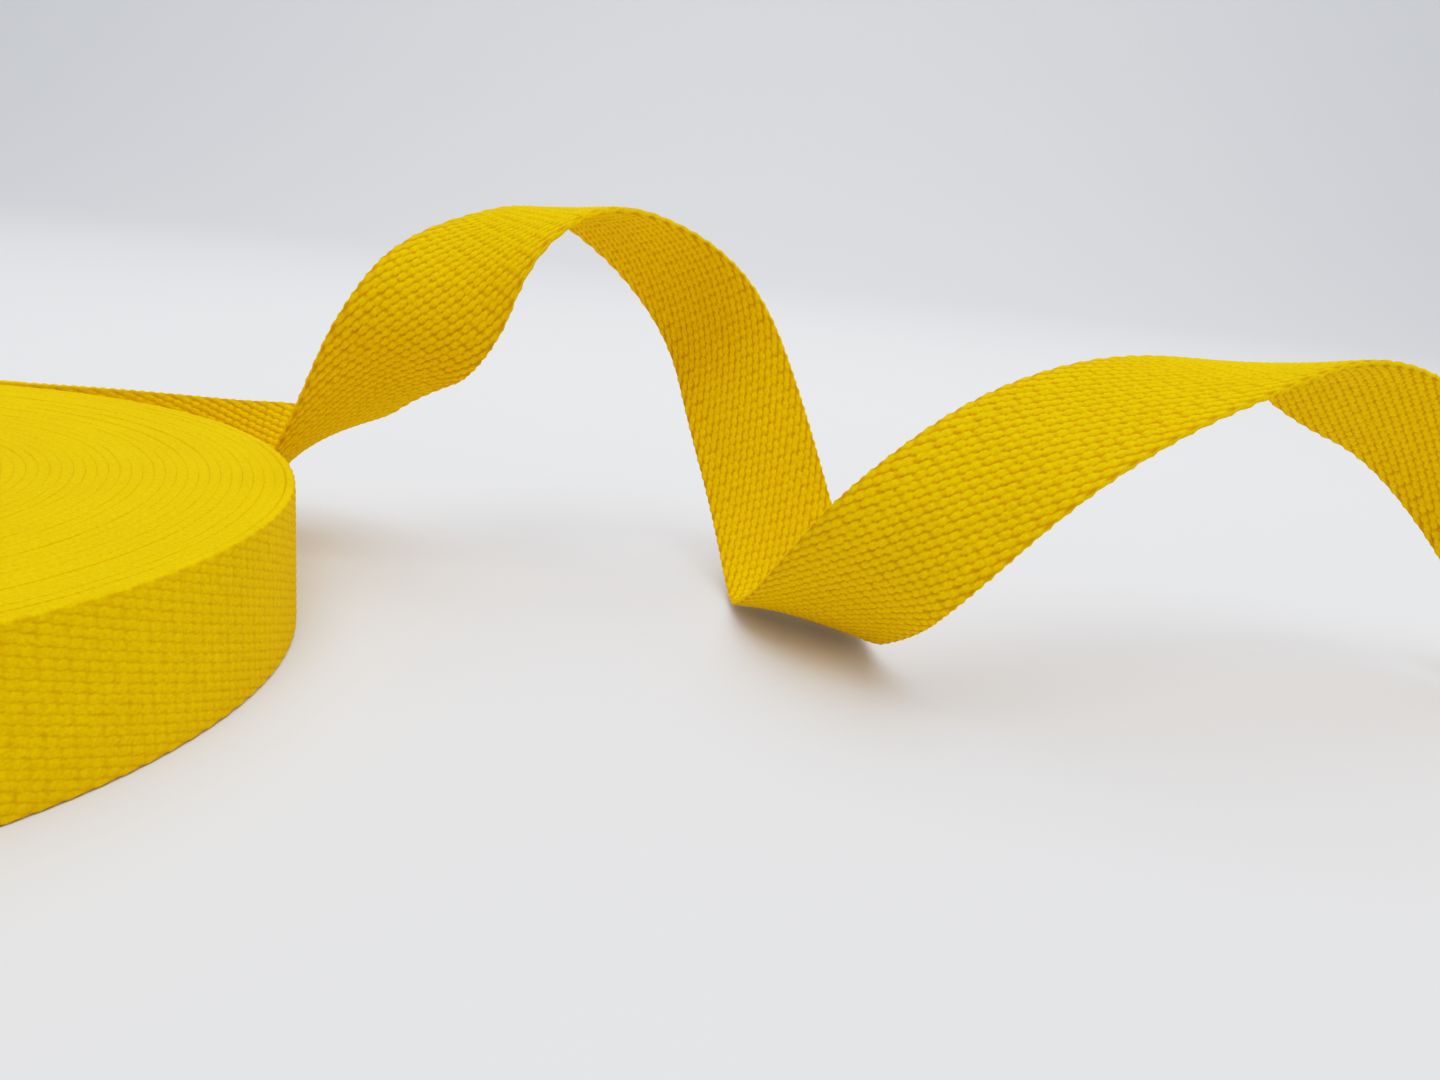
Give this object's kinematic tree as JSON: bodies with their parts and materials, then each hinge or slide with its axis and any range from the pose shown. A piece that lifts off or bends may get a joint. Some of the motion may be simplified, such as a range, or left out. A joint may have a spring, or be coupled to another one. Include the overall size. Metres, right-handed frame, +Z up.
{
  "type": "roll of belt webbing",
  "caption": "Roll of flat yellow cotton belt webbing wound on a cardboard core, lying flat, with its loose tail corkscrewing over arches to a cut end.",
  "frame": {"origin": "on the floor, at the middle of the core", "axes": "+Z up along the core; the tail leaves towards +X, behind the roll on its +Y side"},
  "size_m": [0.6352, 0.2708, 0.1176],
  "materials": {
    "webbing": "woven cotton, matt",
    "core_board": "spiral-wound grey-brown board"
  },
  "bodies": {
    "roll": {"core_tube": "core_board", "wound_turns": "webbing", "outer_turn": "webbing"},
    "first_arch": {"first_arch_rise": "webbing", "first_arch_fall": "webbing"},
    "second_arch": {"second_arch_rise": "webbing"},
    "free_end": {"second_arch_fall": "webbing"}
  },
  "joints": [
    {"name": "takeoff_swing", "type": "hinge", "parent": "roll", "child": "first_arch", "pos_m": [-0.0055, 0.1221, 0.0205], "axis": [0, 0, 1], "range_deg": [0, 60]},
    {"name": "floor_fold_flex", "type": "hinge", "parent": "first_arch", "child": "second_arch", "pos_m": [0.253, 0.083, 0.0055], "axis": [-0.9948, -0.102, 0], "range_deg": [0, 25]},
    {"name": "crest_flex", "type": "hinge", "parent": "second_arch", "child": "free_end", "pos_m": [0.3895, 0.071, 0.0925], "axis": [0.4974, -0.7707, 0.3983], "range_deg": [0, 45]}
  ]
}
